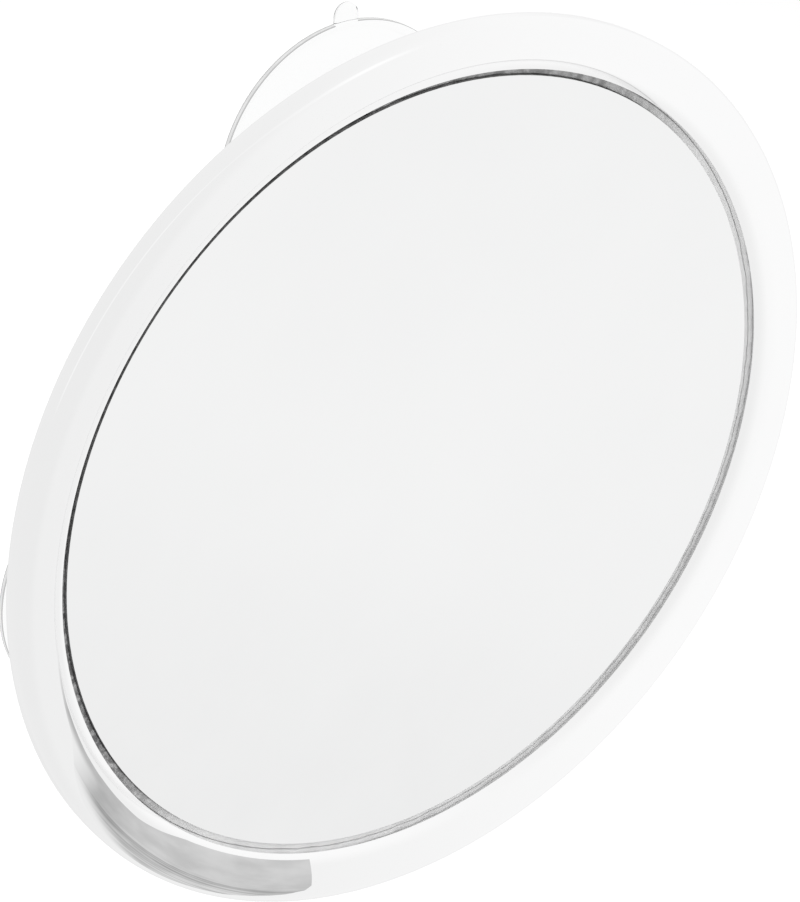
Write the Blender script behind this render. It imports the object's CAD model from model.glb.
# %% [markdown]
# This lesson dresses a round makeup mirror that holds on to a wall by three suction cups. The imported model
# gives every size and place, and each cell makes one piece or one finish of it. Nearly all the pieces are
# turned shapes, so most of the lesson is about drawing half a section and spinning it about its axis. The
# rest is about looks: a bright plated ring, a silvered pane, clear soft plastic and a white studio for them
# to reflect.

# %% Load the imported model
import math

import bmesh
import bpy
from mathutils import Matrix, Vector, noise


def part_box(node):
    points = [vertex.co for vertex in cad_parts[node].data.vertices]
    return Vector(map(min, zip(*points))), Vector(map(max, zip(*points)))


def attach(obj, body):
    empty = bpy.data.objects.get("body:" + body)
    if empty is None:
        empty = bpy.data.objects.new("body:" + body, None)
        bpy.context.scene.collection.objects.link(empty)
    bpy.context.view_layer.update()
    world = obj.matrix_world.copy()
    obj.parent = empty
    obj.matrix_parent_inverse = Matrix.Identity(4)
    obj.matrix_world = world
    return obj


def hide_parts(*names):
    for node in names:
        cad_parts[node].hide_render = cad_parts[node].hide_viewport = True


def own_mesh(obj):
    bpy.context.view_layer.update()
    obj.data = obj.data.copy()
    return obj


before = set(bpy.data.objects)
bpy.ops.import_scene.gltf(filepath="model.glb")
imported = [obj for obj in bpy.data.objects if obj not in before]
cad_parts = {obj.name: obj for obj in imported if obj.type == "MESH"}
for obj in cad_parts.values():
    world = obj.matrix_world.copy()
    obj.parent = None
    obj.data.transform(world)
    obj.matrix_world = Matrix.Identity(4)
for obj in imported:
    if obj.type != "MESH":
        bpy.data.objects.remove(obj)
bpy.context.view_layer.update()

# %% [markdown]
# A piece that takes the place of a CAD solid has to sit exactly where that solid does. Its box gives the
# radii and the heights. Height here is the distance from the wall, which is the plane Y = 0, towards the
# viewer.

# %% Measure the solids
GAP = 0.0003  # between two pieces that touch


def height_of(node, face):
    """Distance from the wall to the back or the front of a solid."""
    low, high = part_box(node)
    return -low.y if face == "front" else -high.y


RING_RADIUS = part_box("bezel_ring")[1].x
RING_FRONT = height_of("bezel_ring", "front")
GLASS_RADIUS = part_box("mirror_glass")[1].x
GLASS_EDGE = height_of("mirror_glass", "front")
SHELL_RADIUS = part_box("back_shell")[1].x
SHELL_TOP = height_of("back_shell", "front")
FOAM_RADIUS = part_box("foam_pad")[1].x
CUP_HEIGHT = height_of("cup_top_bell", "front")
print("radius of the ring", round(RING_RADIUS, 4), "and of the glass", round(GLASS_RADIUS, 4))
print("height of a cup", round(CUP_HEIGHT, 4))

# %% [markdown]
# A turned piece starts as an outline of (radius, height, rounding) corners. Moulded plastic and ground
# glass have no truly sharp corners, and a rounded one catches a thin line of light, so each corner can be
# replaced by a small curve. A quadratic Bezier between the two sides is enough at this size, and needs no
# trigonometry.

# %% Round the corners of an outline
CORNER_STEPS = 5


def softened(corners):
    """Turns corners (radius, height, rounding) into points (radius, height), curved where rounded."""
    points = []
    for index, (radius, height, rounding) in enumerate(corners):
        here = Vector((radius, height))
        if not rounding:
            points.append(here)
            continue
        before = Vector(corners[index - 1][:2]) - here
        after = Vector(corners[(index + 1) % len(corners)][:2]) - here
        start = here + before.normalized() * min(rounding, before.length / 2)
        end = here + after.normalized() * min(rounding, after.length / 2)
        for step in range(CORNER_STEPS + 1):
            t = step / CORNER_STEPS
            points.append(start * (1 - t) ** 2 + here * (2 * t * (1 - t)) + end * t**2)
    return points


def arc(centre, radius, start, end, steps):
    """Points on an arc round (radius, height), between two angles in degrees."""
    angles = [math.radians(start + (end - start) * step / steps) for step in range(steps + 1)]
    return [Vector(centre) + Vector((math.cos(angle), math.sin(angle))) * radius for angle in angles]


rounded_square = softened([(0, 0, 0.1), (1, 0, 0.1), (1, 1, 0.1), (0, 1, 0.1)])
print("a square with rounded corners has", len(rounded_square), "points")

# %% [markdown]
# The spin operator of bmesh turns the outline into a mesh. The piece is turned about its own Z and then
# laid so that Z points away from the wall. Smooth shading with sharp edges kept above an angle gives clean
# faces and crisp rims.

# %% Turn an outline into a mesh
MERGE_DISTANCE = 0.000001
SHARP_ANGLE = math.radians(32)
FACE_THE_VIEWER = Matrix.Rotation(math.pi / 2, 4, "X")


def spin(shape, outline, sides, ring=False, across=0, up=0):
    """Adds a turned solid to a bmesh, about an axis that stands on the wall at (across, up)."""
    points = [shape.verts.new((point[0], 0, point[1])) for point in outline]
    pairs = list(zip(points, points[1:]))
    if ring:
        pairs.append((points[-1], points[0]))
    edges = [shape.edges.new(pair) for pair in pairs]
    known = set(shape.verts) - set(points)
    bmesh.ops.spin(
        shape,
        geom=points + edges,
        cent=(0, 0, 0),
        axis=(0, 0, 1),
        angle=2 * math.pi,
        steps=sides,
        use_merge=True,
    )
    made = [vert for vert in shape.verts if vert not in known]
    bmesh.ops.remove_doubles(shape, verts=made, dist=MERGE_DISTANCE)
    made = [vert for vert in shape.verts if vert not in known]
    bmesh.ops.translate(shape, verts=made, vec=(across, up, 0))


def keep_sharp_edges(mesh):
    mesh.shade_smooth()
    mesh.set_sharp_from_angle(angle=SHARP_ANGLE)


def piece_from(name, shape):
    """Closes a bmesh into an object that stands on the wall, shaded smooth."""
    bmesh.ops.recalc_face_normals(shape, faces=shape.faces)
    mesh = bpy.data.meshes.new(name)
    shape.to_mesh(mesh)
    shape.free()
    mesh.transform(FACE_THE_VIEWER)
    keep_sharp_edges(mesh)
    piece = bpy.data.objects.new(name, mesh)
    bpy.context.scene.collection.objects.link(piece)
    return piece


def turned(name, outline, sides, ring=False, across=0, up=0):
    """A piece that is one turned solid."""
    shape = bmesh.new()
    spin(shape, outline, sides, ring, across, up)
    return piece_from(name, shape)


print("edges sharper than", round(math.degrees(SHARP_ANGLE)), "degrees stay crisp")

# %% [markdown]
# Holes and recesses are cut with a Boolean modifier, and its result is kept as a plain mesh. A Boolean can
# leave spare points on straight borders between two faces. They would split off faces without area when the
# mesh is exported, so they are dissolved. Parts that only touch need no Boolean and are put into one mesh
# as they are.

# %% Cut and join meshes
STRAIGHT_ANGLE = 0.01  # in radians: less of a bend than this counts as straight
SLIVER_WIDTH = MERGE_DISTANCE / 10


def drop_spare_points(mesh):
    """Takes out points on a straight border between two faces."""
    shape = bmesh.new()
    shape.from_mesh(mesh)
    on_border = [vert for vert in shape.verts if len(vert.link_edges) == 2]
    spare = [vert for vert in on_border if vert.calc_edge_angle(1) < STRAIGHT_ANGLE]
    bmesh.ops.dissolve_verts(shape, verts=spare)
    bmesh.ops.dissolve_degenerate(shape, dist=SLIVER_WIDTH, edges=shape.edges)
    shape.to_mesh(mesh)
    shape.free()


def reshape(piece, operation, tool):
    """Cuts a tool out of a piece, or joins it on, and keeps the plain result."""
    step = piece.modifiers.new(tool.name, "BOOLEAN")
    step.operation = operation
    step.solver = "EXACT"
    step.object = tool
    ready = piece.evaluated_get(bpy.context.evaluated_depsgraph_get())
    mesh = bpy.data.meshes.new_from_object(ready)
    drop_spare_points(mesh)
    piece.modifiers.clear()
    piece.data = mesh
    keep_sharp_edges(mesh)
    bpy.data.objects.remove(tool)


def join(piece, other):
    """Adds another object's mesh to a piece, as a separate shell."""
    both = bmesh.new()
    both.from_mesh(piece.data)
    both.from_mesh(other.data)
    both.to_mesh(piece.data)
    both.free()
    bpy.data.objects.remove(other)
    keep_sharp_edges(piece.data)


print("points that bend less than", STRAIGHT_ANGLE, "radians count as spare")

# %% [markdown]
# Every piece stands for a CAD solid, moves with that solid's body and takes its finish from a slot of the
# record. One small function does the three, gives the piece its materials and reports it.

# %% Tie a piece to the frame


def fit(piece, node, body, slot, *materials):
    """Gives a piece its materials, and lets it stand for a CAD solid on that solid's body."""
    for material in materials:
        piece.data.materials.append(material)
    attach(piece, body)
    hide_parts(node)
    print(piece.name, "stands for", node, "with", len(piece.data.polygons), "faces")
    return piece


# %% [markdown]
# Materials are node trees. The first helper adds a node, sets its options and fills its inputs, either with
# a plain value or with another node's output, so that a material reads from top to bottom like a recipe.

# %% Helpers for node trees


def node(tree, kind, inputs=None, **options):
    """Adds a node. Its inputs are plain values or other nodes' outputs."""
    made = tree.nodes.new(kind)
    for name, value in options.items():
        setattr(made, name, value)
    for name, value in (inputs or {}).items():
        if isinstance(value, bpy.types.NodeSocket):
            tree.links.new(value, made.inputs[name])
        else:
            made.inputs[name].default_value = value
    return made


def new_group(name, inputs, outputs):
    """An empty group with named sockets: inputs are (name, kind, default), outputs are (name, kind)."""
    group = bpy.data.node_groups.new(name, "ShaderNodeTree")
    for label, kind, default in inputs:
        group.interface.new_socket(label, in_out="INPUT", socket_type=kind).default_value = default
    for label, kind in outputs:
        group.interface.new_socket(label, in_out="OUTPUT", socket_type=kind)
    return group, group.nodes.new("NodeGroupInput"), group.nodes.new("NodeGroupOutput")


def effect(tree, group, **inputs):
    """Places a group in a material with its own values."""
    return node(tree, "ShaderNodeGroup", inputs, node_tree=group)


def finish(name, **sockets):
    """A new material with these plain values: returns it, its tree and its Principled shader."""
    print("material", name)
    material = bpy.data.materials.new(name)
    material.use_nodes = True
    shader = material.node_tree.nodes["Principled BSDF"]
    for label, value in sockets.items():
        shader.inputs[label.replace("_", " ")].default_value = value
    return material, material.node_tree, shader


def link(tree, output, target):
    tree.links.new(output, target)


print("helpers:", node.__name__, new_group.__name__, effect.__name__, finish.__name__, link.__name__)

# %% [markdown]
# A few kinds of node come back again and again: one that calculates, one that goes from one level to
# another, and one that mixes two colours. Short names for them make the recipes easier to read.

# %% Short names for common nodes


def calculated(tree, operation, first, second=0.0):
    return node(tree, "ShaderNodeMath", {0: first, 1: second}, operation=operation).outputs[0]


def levels(tree, share, low, high):
    """Goes evenly from a low to a high level while a share goes from 0 to 1."""
    sockets = {"Value": share, "To Min": low, "To Max": high}
    return node(tree, "ShaderNodeMapRange", sockets).outputs["Result"]


def eased(tree, value, first, last, first_level=0.0, last_level=1.0):
    """Goes smoothly from one level to another while a value goes from first to last."""
    sockets = {"Value": value, "From Min": first, "From Max": last}
    sockets.update({"To Min": first_level, "To Max": last_level})
    made = node(tree, "ShaderNodeMapRange", sockets, interpolation_type="SMOOTHSTEP")
    return made.outputs["Result"]


def mixed(tree, share, first, last):
    """Two colours, mixed by a share from 0 to 1."""
    sockets = {"Factor": share, "A": first, "B": last}
    return node(tree, "ShaderNodeMix", sockets, data_type="RGBA").outputs["Result"]


def dot(tree, vector, direction):
    """How far a vector reaches along a direction."""
    made = node(tree, "ShaderNodeVectorMath", {0: vector, 1: direction}, operation="DOT_PRODUCT")
    return made.outputs["Value"]


def stretched(tree, vector, factors):
    made = node(tree, "ShaderNodeVectorMath", {0: vector, 1: factors}, operation="MULTIPLY")
    return made.outputs["Vector"]


def place_on(tree):
    """The place of a point on the piece, in metres."""
    return node(tree, "ShaderNodeTexCoord").outputs["Object"]


print("short names:", calculated.__name__, levels.__name__, eased.__name__, mixed.__name__, dot.__name__)

# %% [markdown]
# No surface is perfectly even. Plating and soft plastic ripple by thousandths of a millimetre, which bends
# their reflections. This group turns soft noise into a bump. Size is the length of a ripple and Height how
# deep it is.

# %% A group for ripples
FLOAT, COLOUR, VECTOR = "NodeSocketFloat", "NodeSocketColor", "NodeSocketVector"


def build_ripples():
    group, given, out = new_group(
        "ripples",
        [("Size", FLOAT, 0.01), ("Height", FLOAT, 0.00001), ("Detail", FLOAT, 2.0)],
        [("Normal", VECTOR), ("Mask", FLOAT)],
    )
    scale = calculated(group, "DIVIDE", 1.0, given.outputs["Size"])
    pattern = node(
        group,
        "ShaderNodeTexNoise",
        {"Vector": place_on(group), "Scale": scale, "Detail": given.outputs["Detail"], "Roughness": 0.5},
    )
    waves = pattern.outputs["Fac"]
    bump = node(group, "ShaderNodeBump", {"Height": waves, "Distance": given.outputs["Height"]})
    link(group, bump.outputs["Normal"], out.inputs["Normal"])
    link(group, waves, out.inputs["Mask"])
    return group


RIPPLES = build_ripples()
print("group", RIPPLES.name, "has", len(RIPPLES.nodes), "nodes")

# %% [markdown]
# Colour is never the same all over either. This group mixes two colours in soft clouds. Share moves the
# balance between them and Contrast says how hard the clouds' borders are.

# %% A group for clouds of colour


def build_clouds():
    group, given, out = new_group(
        "clouds",
        [
            ("Size", FLOAT, 0.02),
            ("Share", FLOAT, 0.5),
            ("Contrast", FLOAT, 1.0),
            ("First", COLOUR, (0.5, 0.5, 0.5, 1)),
            ("Second", COLOUR, (0.8, 0.8, 0.8, 1)),
        ],
        [("Colour", COLOUR), ("Mask", FLOAT)],
    )
    scale = calculated(group, "DIVIDE", 1.0, given.outputs["Size"])
    pattern = node(
        group,
        "ShaderNodeTexNoise",
        {"Vector": place_on(group), "Scale": scale, "Detail": 5.0, "Roughness": 0.55},
    )
    moved = calculated(group, "SUBTRACT", pattern.outputs["Fac"], given.outputs["Share"])
    hard = calculated(group, "MULTIPLY", moved, given.outputs["Contrast"])
    mask = node(group, "ShaderNodeMath", {0: hard, 1: 0.5}, operation="ADD", use_clamp=True).outputs[0]
    link(group, mixed(group, mask, given.outputs["First"], given.outputs["Second"]), out.inputs["Colour"])
    link(group, mask, out.inputs["Mask"])
    return group


CLOUDS = build_clouds()
print("group", CLOUDS.name, "has", len(CLOUDS.nodes), "nodes")


def clouded(tree, first, second, **values):
    """Places clouds of two colours in a material and returns their colour."""
    return effect(tree, CLOUDS, First=(*first, 1), Second=(*second, 1), **values).outputs["Colour"]


# %% [markdown]
# Dust, pores and pits are small separate spots. A Voronoi texture measures the distance to the nearest of
# many scattered points, so a threshold on it gives round spots. Size is their spacing and Share how much
# they cover.

# %% A group for scattered spots


def build_spots():
    group, given, out = new_group(
        "spots",
        [("Size", FLOAT, 0.001), ("Share", FLOAT, 0.2), ("Softness", FLOAT, 0.1)],
        [("Mask", FLOAT)],
    )
    scale = calculated(group, "DIVIDE", 1.0, given.outputs["Size"])
    cells = node(group, "ShaderNodeTexVoronoi", {"Vector": place_on(group), "Scale": scale})
    outer = calculated(group, "ADD", given.outputs["Share"], given.outputs["Softness"])
    mask = node(
        group,
        "ShaderNodeMapRange",
        {"Value": cells.outputs["Distance"], "From Min": outer, "From Max": given.outputs["Share"]},
    )
    link(group, mask.outputs["Result"], out.inputs["Mask"])
    return group


SPOTS = build_spots()
print("group", SPOTS.name, "has", len(SPOTS.nodes), "nodes")

# %% [markdown]
# Some finishes differ from one side of the mirror to the other. This group measures how far a place lies
# along a direction. Before one distance it gives the first colour, after another the last one, with a
# smooth change between them.

# %% A group for a change across a piece


def build_change():
    group, given, out = new_group(
        "change_across",
        [
            ("Direction", VECTOR, (1.0, 0.0, 0.0)),
            ("Starts", FLOAT, -0.05),
            ("Ends", FLOAT, 0.05),
            ("First", COLOUR, (0.5, 0.5, 0.5, 1)),
            ("Last", COLOUR, (0.8, 0.8, 0.8, 1)),
        ],
        [("Colour", COLOUR)],
    )
    reach = dot(group, place_on(group), given.outputs["Direction"])
    share = eased(group, reach, given.outputs["Starts"], given.outputs["Ends"])
    link(group, mixed(group, share, given.outputs["First"], given.outputs["Last"]), out.inputs["Colour"])
    return group


CHANGE = build_change()
print("group", CHANGE.name, "has", len(CHANGE.nodes), "nodes")


def graded(tree, first, last, direction, starts, ends):
    """Places the group in a material and returns its colour."""
    values = {"Direction": direction, "Starts": starts, "Ends": ends, "First": first, "Last": last}
    return effect(tree, CHANGE, **values).outputs["Colour"]


# %% [markdown]
# The ring is moulded in plastic and then plated, so it is a metal to the light: metallic is 1 and the base
# colour is the tint of the reflection. A very small bump stands for the ripple of the plastic below the
# plating, and soft clouds of roughness for the film that fingers leave. In the photograph the left of the
# ring is duller than the right whichever way its surface faces, so the film is taken to be a little thicker
# there. Close to the lip it is the other way round, with a trace of adhesive at the right.

# %% Bright plating
LEFT_TO_RIGHT = (1.0, 0.0, 0.2)
WITHOUT_HEIGHT = (1.0, 0.0, 1.0)
LIP_SMEAR = (0.9, 0.9, 0.9, 1)
FILM_STARTS = GLASS_RADIUS + 0.0017  # distances from the middle between which the film changes
FILM_WHOLE = GLASS_RADIUS + 0.0033


def plating():
    material, tree, shader = finish("bright_plating", Metallic=1.0)
    dull = clouded(tree, (0.868, 0.869, 0.87), (0.888, 0.888, 0.888), Size=0.05, Contrast=1.5)
    clean = clouded(tree, (0.965, 0.965, 0.967), (0.98, 0.98, 0.98), Size=0.05, Contrast=1.5)
    crest = graded(tree, dull, clean, LEFT_TO_RIGHT, starts=-0.085, ends=0.06)
    beside_lip = graded(tree, clean, LIP_SMEAR, LEFT_TO_RIGHT, starts=-0.03, ends=0.05)
    flat = stretched(tree, place_on(tree), WITHOUT_HEIGHT)
    radius = node(tree, "ShaderNodeVectorMath", {0: flat}, operation="LENGTH").outputs["Value"]
    outwards = eased(tree, radius, FILM_STARTS, FILM_WHOLE)
    link(tree, mixed(tree, outwards, beside_lip, crest), shader.inputs["Base Color"])
    film = effect(tree, CLOUDS, Size=0.012, Share=0.55, Contrast=3.0)
    link(tree, levels(tree, film.outputs["Mask"], 0.02, 0.05), shader.inputs["Roughness"])
    ripple = effect(tree, RIPPLES, Size=0.009, Height=0.000004)
    link(tree, ripple.outputs["Normal"], shader.inputs["Normal"])
    return material


BRIGHT_PLATING = plating()

# %% [markdown]
# Seen from the side the ring is one outline: up the lip beside the glass, over a face that rises steeply at
# first and then flattens to the crest, round the outside in two quarter arcs, and back below through the
# groove that takes the tongue of the back cover, to the ledge that carries the glass. The face is a
# quadratic Bezier: its middle point sets the slope at the lip and lies level with the crest, so the face
# meets the outer arc without a crease.

# %% Plated ring
RING_SIDES = 288
GROOVE_WIDTH = 0.00135  # between the glass and the ring's lip, where the adhesive lies
LIP_RISE = 0.001  # above the edge of the glass
LIP_ROUNDING = 0.0001
FACE_WIDTH = 0.00575  # from the lip to the crest
FACE_SLOPE = math.radians(48)  # at the lip
FACE_STEPS = 40
OUTER_ROUND = 0.0034
OUTER_STEPS = 24
REACH_BACK = 0.0035  # of the ring behind the edge of the glass
RING_WALL = 0.00175
LEDGE_THICKNESS = 0.002
LIP_RADIUS = GLASS_RADIUS + GROOVE_WIDTH
LIP_TOP = GLASS_EDGE + LIP_RISE
CREST_RADIUS = LIP_RADIUS + FACE_WIDTH
RING_REAR = GLASS_EDGE - REACH_BACK
TONGUE_ROOM = SHELL_TOP + GAP
SEAL_BOTTOM = height_of("edge_seal", "back")
LEDGE_TOP = SEAL_BOTTOM - GAP
LEDGE_BOTTOM = LEDGE_TOP - LEDGE_THICKNESS
POST_BOTTOM = height_of("bezel_ring", "back")


def ring_face():
    """Points from the lip to the crest."""
    start, end = Vector((LIP_RADIUS, LIP_TOP)), Vector((CREST_RADIUS, RING_FRONT))
    middle = Vector((LIP_RADIUS + (RING_FRONT - LIP_TOP) / math.tan(FACE_SLOPE), RING_FRONT))
    shares = [step / FACE_STEPS for step in range(FACE_STEPS + 1)]
    return [start * (1 - t) ** 2 + middle * (2 * t * (1 - t)) + end * t**2 for t in shares]


def ring_outline(ledge_radius):
    """The whole section: lip, front, rear, tongue groove and ledge."""
    face = ring_face()
    lip = [(LIP_RADIUS, LEDGE_TOP, 0), (LIP_RADIUS, LIP_TOP, LIP_ROUNDING), (face[1].x, face[1].y, 0)]
    front = arc((CREST_RADIUS, RING_FRONT - OUTER_ROUND), OUTER_ROUND, 90, 0, OUTER_STEPS)
    rear = arc((CREST_RADIUS, RING_REAR + OUTER_ROUND), OUTER_ROUND, 0, -90, OUTER_STEPS)
    inner_wall = LIP_RADIUS + RING_WALL
    below = [
        (SHELL_RADIUS + GAP, RING_REAR),
        (SHELL_RADIUS + GAP, TONGUE_ROOM),
        (inner_wall, TONGUE_ROOM),
        (inner_wall, LEDGE_BOTTOM),
        (ledge_radius, LEDGE_BOTTOM),
        (ledge_radius, LEDGE_TOP),
    ]
    return softened(lip) + face[2:] + front[1:] + rear + below


def screw_places():
    """Where the cover's screws stand, read from their solids."""
    places = []
    for name in ("back_screw_1", "back_screw_2", "back_screw_3"):
        low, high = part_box(name)
        places.append(((low.x + high.x) / 2, (low.z + high.z) / 2))
    return places


POST_SIDES = 32
POST_RADIUS = 0.0028
PILOT_RADIUS = 0.0014
PILOT_ROOF = 0.0016  # of plastic above a screw's hole
PILOT_TOP = LEDGE_TOP - PILOT_ROOF
SCREW_PITCH = math.hypot(*screw_places()[0])
LEDGE_RADIUS = SCREW_PITCH - POST_RADIUS


def make_ring():
    """The ring and the three posts below its ledge that take the cover's screws."""
    shape = bmesh.new()
    spin(shape, ring_outline(LEDGE_RADIUS), RING_SIDES, ring=True)
    post = [
        (0, PILOT_TOP),
        (PILOT_RADIUS, PILOT_TOP),
        (PILOT_RADIUS, POST_BOTTOM),
        (POST_RADIUS, POST_BOTTOM),
        (POST_RADIUS, LEDGE_TOP - GAP),
        (0, LEDGE_TOP - GAP),
    ]
    for across, up in screw_places():
        spin(shape, post, POST_SIDES, across=across, up=up)
    return piece_from("plated_ring", shape)


fit(make_ring(), "bezel_ring", "mirror_head", "plated_ring", BRIGHT_PLATING)

# %% [markdown]
# The pane is silvered glass, hollow to the front by about two millimetres so that it enlarges the face. It
# has three surfaces: the silvered face, the ground edge, which is dull and rough, and the grey paint that
# protects the silver on the back. At the lower right pale adhesive has smeared over the edge. A thin haze
# dulls the silver where one looks straight at it. Mirrored in the ring the pane is seen at a low angle, and
# there it is brighter.

# %% Finishes of the pane
SEEN_IN_RING = (0.97, 0.97, 0.97, 1)
THICK_TO_THIN = (0.74, 0.0, -0.67)  # from thick, dark adhesive to where it is thin and pale
THICK_END = -0.025  # distances along that direction between which it changes
THIN_END = 0.012
HAZY_TO_CLEAR = (0.5, 0.0, 0.85)


def silver():
    material, tree, shader = finish("silvered_face", Metallic=1.0)
    hazy = clouded(tree, (0.845, 0.847, 0.847), (0.875, 0.877, 0.877), Size=0.02, Contrast=1.6)
    clear = clouded(tree, (0.892, 0.894, 0.894), (0.916, 0.918, 0.918), Size=0.05, Contrast=1.6)
    tint = graded(tree, hazy, clear, HAZY_TO_CLEAR, starts=-0.065, ends=0.0)
    in_reflection = node(tree, "ShaderNodeLightPath").outputs["Is Glossy Ray"]
    link(tree, mixed(tree, in_reflection, tint, SEEN_IN_RING), shader.inputs["Base Color"])
    film = effect(tree, CLOUDS, Size=0.03, Share=0.5, Contrast=2.0)
    link(tree, levels(tree, film.outputs["Mask"], 0.008, 0.03), shader.inputs["Roughness"])
    return material


def ground_edge():
    material, tree, shader = finish("ground_glass_edge", IOR=1.5, Roughness=0.45)
    bare = clouded(tree, (0.08, 0.081, 0.081), (0.24, 0.24, 0.24), Size=0.0012, Contrast=3.0)
    smeared = clouded(tree, (0.82, 0.82, 0.82), (0.94, 0.94, 0.94), Size=0.002, Contrast=3.0)
    tint = graded(tree, bare, smeared, THICK_TO_THIN, THICK_END, THIN_END)
    link(tree, tint, shader.inputs["Base Color"])
    grit = effect(tree, RIPPLES, Size=0.0003, Height=0.00002)
    link(tree, grit.outputs["Normal"], shader.inputs["Normal"])
    return material


def back_paint():
    material, tree, shader = finish("back_paint", Roughness=0.55)
    tint = clouded(tree, (0.2, 0.21, 0.22), (0.26, 0.27, 0.28), Size=0.01, Contrast=1.5)
    link(tree, tint, shader.inputs["Base Color"])
    return material


PANE_FINISHES = (silver(), ground_edge(), back_paint())

# %% [markdown]
# The front and the back of the pane are parabolas, which at this depth can't be told from parts of a
# sphere. The edge between them stands square to the pane and has the smallest of chamfers. Each face of the
# mesh gets its material from the way that it looks.

# %% Silvered pane
PANE_SIDES = 192
PANE_STEPS = 24
GLASS_THICKNESS = 0.003
GLASS_CHAMFER = 0.00005
GLASS_SAG = GLASS_EDGE - GLASS_THICKNESS - height_of("mirror_glass", "back")
NEARLY_LEVEL = 0.9  # faces whose normals reach further along Y belong to the front or the back
EDGE_SLOT, BACK_SLOT = 1, 2  # after the silvered face, which is 0


def pane_outline():
    """From the middle of the front over the edge to the middle of the back."""
    flat = GLASS_RADIUS - GLASS_CHAMFER
    radii = [flat * step / PANE_STEPS for step in range(PANE_STEPS + 1)]
    face = [(radius, GLASS_EDGE - GLASS_SAG * (1 - (radius / flat) ** 2)) for radius in radii]
    back = [(radius, height - GLASS_THICKNESS) for radius, height in reversed(face)]
    edge = [(GLASS_RADIUS, GLASS_EDGE - GLASS_CHAMFER), (GLASS_RADIUS, back[0][1] + GLASS_CHAMFER)]
    return face + edge + back


def make_pane():
    pane = turned("silvered_pane", pane_outline(), PANE_SIDES)
    for face in pane.data.polygons:
        if face.normal.y > NEARLY_LEVEL:
            face.material_index = BACK_SLOT
        elif face.normal.y > -NEARLY_LEVEL:
            face.material_index = EDGE_SLOT
    return pane


fit(make_pane(), "mirror_glass", "mirror_head", "silvered_glass", *PANE_FINISHES)

# %% [markdown]
# Adhesive holds the pane and fills the narrow groove round it. It is laid by hand from a nozzle, so its top
# wanders up and down. The turned ring gets that from a smooth noise read along the circle: the same noise
# at the end of the turn as at its start, because it is read at points in space and not by the angle. The
# bead is thick and dark at the upper left, greyer at the top, and thin and pale at the lower right. Clouds
# of three greys follow that.

# %% Adhesive
LEFT_TO_TOP = (0.3, 0.0, 1.0)


def adhesive():
    material, tree, shader = finish("grey_adhesive", IOR=1.45, Roughness=0.35)
    thick = clouded(tree, (0.16, 0.16, 0.162), (0.55, 0.55, 0.55), Size=0.0011, Share=0.55, Contrast=5.0)
    thin = clouded(tree, (0.86, 0.86, 0.86), (0.96, 0.96, 0.96), Size=0.003, Contrast=2.0)
    greyer = clouded(tree, (0.34, 0.34, 0.34), (0.66, 0.66, 0.66), Size=0.0014, Contrast=4.0)
    thick_tint = graded(tree, thick, greyer, LEFT_TO_TOP, starts=0.042, ends=0.064)
    tint = graded(tree, thick_tint, thin, THICK_TO_THIN, THICK_END, THIN_END)
    link(tree, tint, shader.inputs["Base Color"])
    lumps = effect(tree, RIPPLES, Size=0.0006, Height=0.00005, Detail=3.0)
    link(tree, lumps.outputs["Normal"], shader.inputs["Normal"])
    return material


GREY_ADHESIVE = adhesive()

# %% [markdown]
# The bead's section fills the groove beside the pane and reaches a little under the pane, where it holds
# it. Only the points of its top are moved. The bead needs many sides, so that the wandering is smooth.

# %% Adhesive line
SEAL_SIDES = 720
SEAL_TOP = height_of("edge_seal", "front")
SEAL_INNER = GLASS_RADIUS - 0.0045
SEAL_ROUND = 0.0002
SEAL_SKIN = 0.0003  # below the top, what lies within this wanders
SEAL_WANDER = 0.00022
LONG_WAVES, SHORT_WAVES = 300, 900  # per metre


def wander(place):
    """About -1 to 1, changing every few millimetres."""
    return noise.noise(place * LONG_WAVES) + 0.5 * noise.noise(place * SHORT_WAVES)


def make_seal():
    """The bead, whose top is moved up and down."""
    inner = GLASS_RADIUS + GAP / 10
    outer = LIP_RADIUS - GAP / 10
    pane_back = GLASS_EDGE - GLASS_THICKNESS
    outline = softened(
        [
            (inner, SEAL_TOP, SEAL_ROUND),
            (outer, SEAL_TOP, SEAL_ROUND),
            (outer, SEAL_BOTTOM, 0),
            (SEAL_INNER, SEAL_BOTTOM, SEAL_ROUND),
            (SEAL_INNER, pane_back - GAP * 2, 0),
            (inner, pane_back - GAP, 0),
        ]
    )
    seal = turned("adhesive_line", outline, SEAL_SIDES, ring=True)
    for vert in seal.data.vertices:
        if -vert.co.y > SEAL_TOP - SEAL_SKIN:
            vert.co.y -= SEAL_WANDER * wander(vert.co)
    return seal


fit(make_seal(), "edge_seal", "mirror_head", "adhesive", GREY_ADHESIVE)

# %% [markdown]
# A disc of foam presses on the back of the pane and keeps it from rattling. It can only be seen when the
# mirror is taken apart. Open foam is a mass of small pores: round spots, darker and deeper than the rest.

# %% Foam disc
FOAM_SIDES = 96
FOAM_ROUNDING = 0.0008
FOAM_PALE, FOAM_PORES = (0.7, 0.7, 0.68, 1), (0.38, 0.38, 0.36, 1)


def foam():
    material, tree, shader = finish("open_foam", Roughness=0.95)
    pores = effect(tree, SPOTS, Size=0.0009, Share=0.3, Softness=0.15).outputs["Mask"]
    link(tree, mixed(tree, pores, FOAM_PALE, FOAM_PORES), shader.inputs["Base Color"])
    dents = node(tree, "ShaderNodeBump", {"Height": pores, "Distance": 0.0002}, invert=True)
    link(tree, dents.outputs["Normal"], shader.inputs["Normal"])
    return material


def make_foam():
    back = height_of("foam_pad", "back")
    front = height_of("foam_pad", "front")
    outline = [
        (0, front, 0),
        (FOAM_RADIUS, front, FOAM_ROUNDING),
        (FOAM_RADIUS, back, FOAM_ROUNDING),
        (0, back, 0),
    ]
    return turned("foam_disc", softened(outline), FOAM_SIDES)


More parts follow.
